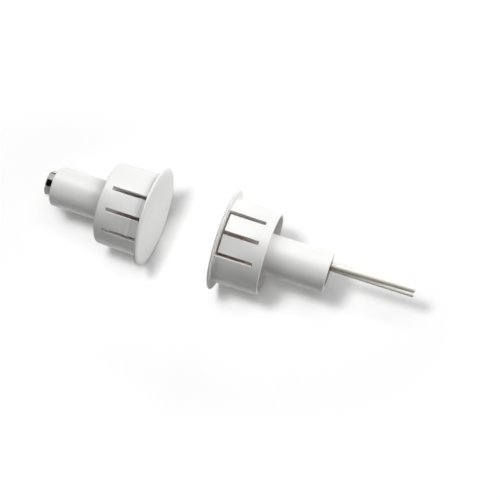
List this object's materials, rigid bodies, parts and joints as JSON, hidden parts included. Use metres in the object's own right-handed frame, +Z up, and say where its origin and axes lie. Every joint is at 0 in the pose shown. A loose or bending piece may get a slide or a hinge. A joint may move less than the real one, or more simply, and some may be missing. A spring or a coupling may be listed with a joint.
{
  "type": "door contact switch",
  "caption": "Recessed magnetic door contact: a flanged snap-in switch half with reed switch and wire leads, facing a matching magnet half that closes it when the door shuts.",
  "frame": {"origin": "centre of the switch half's flat sensing face, on the common axis of both halves", "axes": "+X along the axis, back through the switch half's stem to its leads; the magnet half lies along -X; +Z up as the pair lies in the picture"},
  "size_m": [0.1125, 0.0302, 0.0302],
  "materials": {
    "moulded_abs": "semi-matt moulded white",
    "soda_glass": "clear drawn glass",
    "nickel_iron": "plain drawn wire, rolled flat at the blade",
    "tinned_brass": "tin plated",
    "tinned_copper": "tinned wire",
    "sleeve_pvc": "dark flexible sleeve",
    "potting_resin": "dark brown cast resin",
    "lead_pvc": "cream wire insulation",
    "nickel_plate": "bright polished plate"
  },
  "bodies": {
    "switch_half": {"switch_adapter": "moulded_abs", "switch_capsule": "moulded_abs", "reed_glass": "soda_glass", "front_splice": "tinned_brass", "rear_splice": "tinned_brass", "long_conductor": "tinned_copper", "short_conductor": "tinned_copper", "return_sleeve": "sleeve_pvc", "potting": "potting_resin", "upper_lead": "lead_pvc", "lower_lead": "lead_pvc"},
    "front_blade": {"front_reed_blade": "nickel_iron"},
    "rear_blade": {"rear_reed_blade": "nickel_iron"},
    "magnet_half": {"magnet_adapter": "moulded_abs", "magnet_capsule": "moulded_abs", "rod_magnet": "nickel_plate"}
  },
  "joints": [
    {"name": "magnet_travel", "type": "slide", "parent": "switch_half", "child": "magnet_half", "axis": [1, 0, 0], "range_m": [-0.03, 0.018]},
    {"name": "front_blade_flex", "type": "hinge", "parent": "switch_half", "child": "front_blade", "pos_m": [0.008, 0, 0], "axis": [0, 0, 1], "range_deg": [-1.2, 0], "stiffness_Nm_per_rad": 0.001},
    {"name": "rear_blade_flex", "type": "hinge", "parent": "switch_half", "child": "rear_blade", "pos_m": [0.0199, 0, 0], "axis": [0, 0, 1], "range_deg": [-1.2, 0], "stiffness_Nm_per_rad": 0.001}
  ],
  "couplings": [
    {"joint": "rear_blade_flex", "follows": "front_blade_flex", "ratio": 1}
  ]
}
